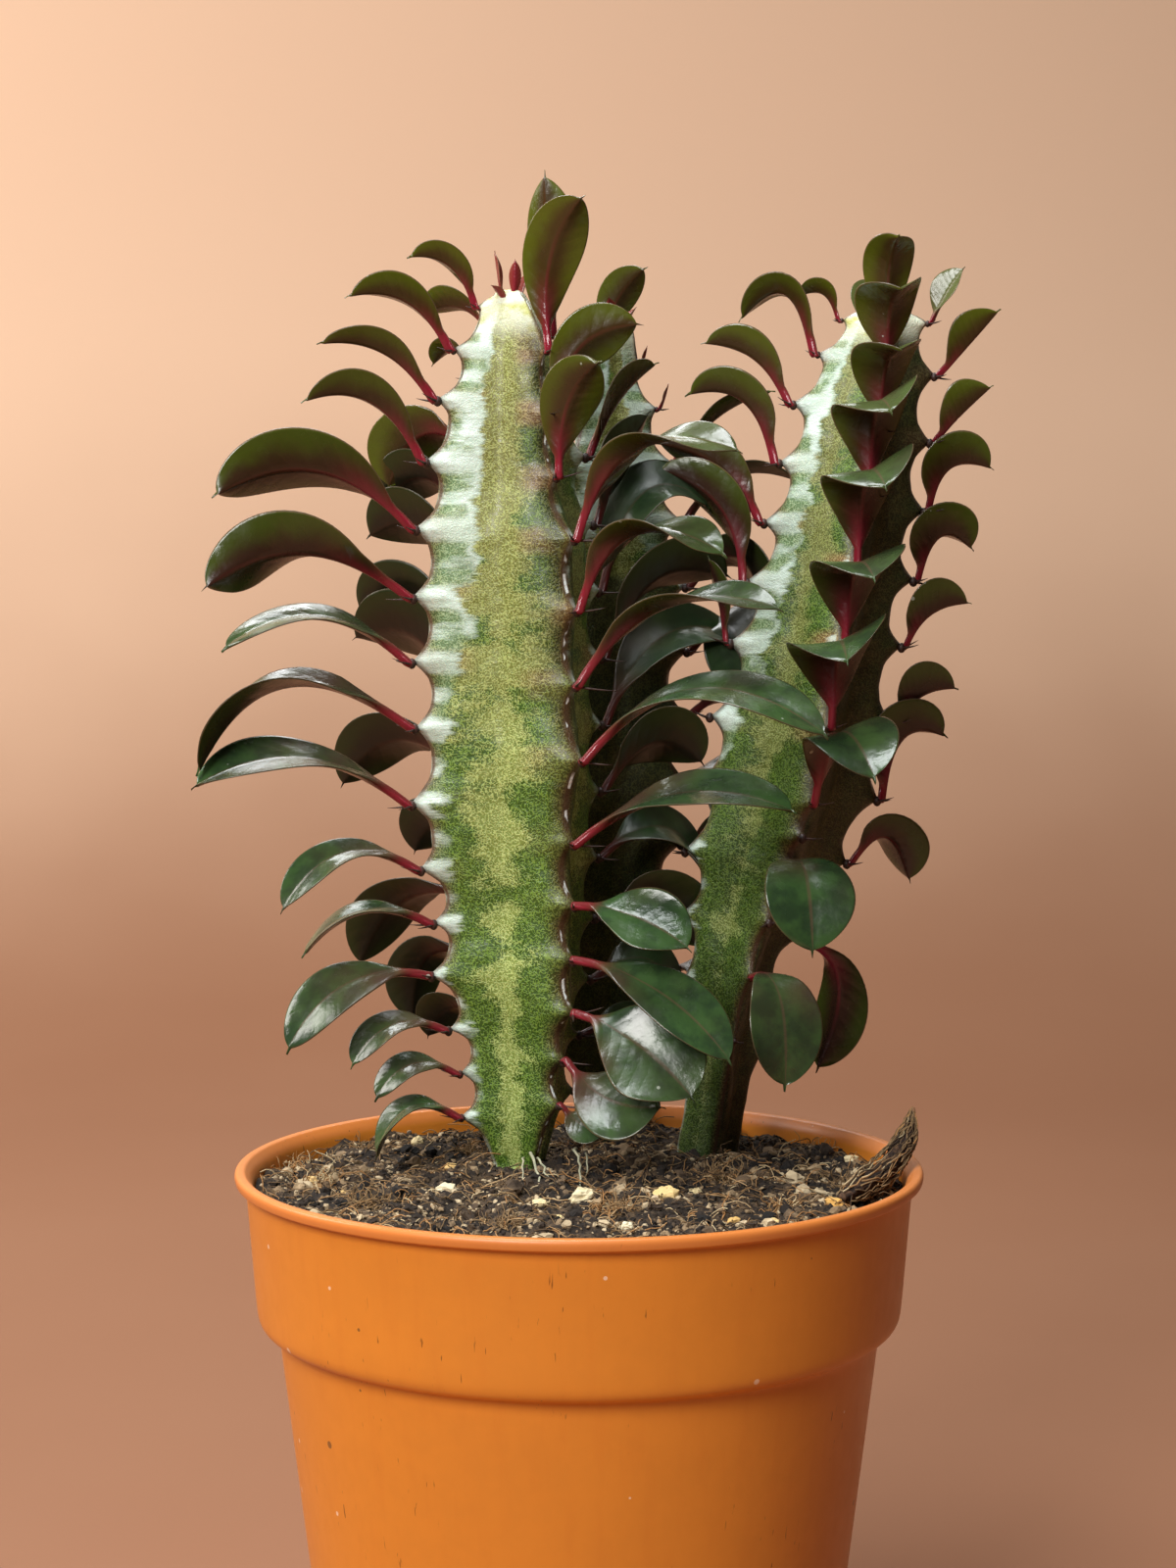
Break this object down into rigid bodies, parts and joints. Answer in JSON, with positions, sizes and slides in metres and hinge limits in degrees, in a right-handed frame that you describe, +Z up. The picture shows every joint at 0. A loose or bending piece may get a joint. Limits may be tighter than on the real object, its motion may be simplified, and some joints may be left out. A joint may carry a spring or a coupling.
{
  "type": "potted euphorbia",
  "caption": "Potted succulent: ribbed, pale-streaked upright stems with dark spoon-shaped leaves along their ribs, growing in soil in a collared orange nursery pot.",
  "frame": {"origin": "centre of the pot's flat base, on the surface that it stands on", "axes": "+Z up along the stems; -Y to the plant's front, the side that the picture shows; +X to the right as seen from the front"},
  "size_m": [0.1407, 0.12, 0.2719],
  "materials": {
    "pot_plastic": "satin",
    "potting_soil": "matte",
    "stem_skin": "satin",
    "leaf": "satin",
    "young_leaf": "satin",
    "dry_root": "matte"
  },
  "bodies": {
    "root": {"pot": "pot_plastic", "soil": "potting_soil", "root_clump": "dry_root", "left_stem": "stem_skin", "right_stem": "stem_skin", "back_stem": "stem_skin", "left_stem_outer_leaf_1": "young_leaf", "left_stem_outer_leaf_2": "young_leaf", "left_stem_outer_leaf_3": "young_leaf", "left_stem_outer_leaf_4": "leaf", "left_stem_outer_leaf_5": "leaf", "left_stem_outer_leaf_6": "leaf", "left_stem_outer_leaf_7": "leaf", "left_stem_outer_leaf_8": "leaf", "left_stem_outer_leaf_9": "leaf", "left_stem_outer_leaf_10": "leaf", "left_stem_outer_leaf_11": "leaf", "left_stem_outer_leaf_12": "leaf", "left_stem_outer_leaf_13": "leaf", "left_stem_outer_leaf_14": "leaf", "left_stem_outer_leaf_15": "leaf", "left_stem_inner_leaf_1": "young_leaf", "left_stem_inner_leaf_2": "young_leaf", "left_stem_inner_leaf_3": "young_leaf", "left_stem_inner_leaf_4": "leaf", "left_stem_inner_leaf_5": "leaf", "left_stem_inner_leaf_6": "leaf", "left_stem_inner_leaf_7": "leaf", "left_stem_inner_leaf_8": "leaf", "left_stem_inner_leaf_9": "leaf", "left_stem_inner_leaf_10": "leaf", "left_stem_inner_leaf_11": "leaf", "left_stem_inner_leaf_12": "leaf", "left_stem_inner_leaf_13": "leaf", "left_stem_rear_leaf_4": "leaf", "left_stem_rear_leaf_6": "leaf", "left_stem_rear_leaf_8": "leaf", "left_stem_rear_leaf_10": "leaf", "right_stem_inner_leaf_1": "young_leaf", "right_stem_inner_leaf_2": "young_leaf", "right_stem_inner_leaf_3": "young_leaf", "right_stem_inner_leaf_4": "leaf", "right_stem_inner_leaf_5": "leaf", "right_stem_inner_leaf_6": "leaf", "right_stem_front_leaf_1": "young_leaf", "right_stem_front_leaf_2": "young_leaf", "right_stem_front_leaf_3": "young_leaf", "right_stem_front_leaf_4": "leaf", "right_stem_front_leaf_5": "leaf", "right_stem_front_leaf_6": "leaf", "right_stem_front_leaf_7": "leaf", "right_stem_front_leaf_8": "leaf", "right_stem_front_leaf_10": "leaf", "right_stem_front_leaf_12": "leaf", "right_stem_outer_leaf_2": "young_leaf", "right_stem_outer_leaf_3": "young_leaf", "right_stem_outer_leaf_4": "leaf", "right_stem_outer_leaf_5": "leaf", "right_stem_outer_leaf_6": "leaf", "right_stem_outer_leaf_10": "leaf"}
  },
  "joints": []
}
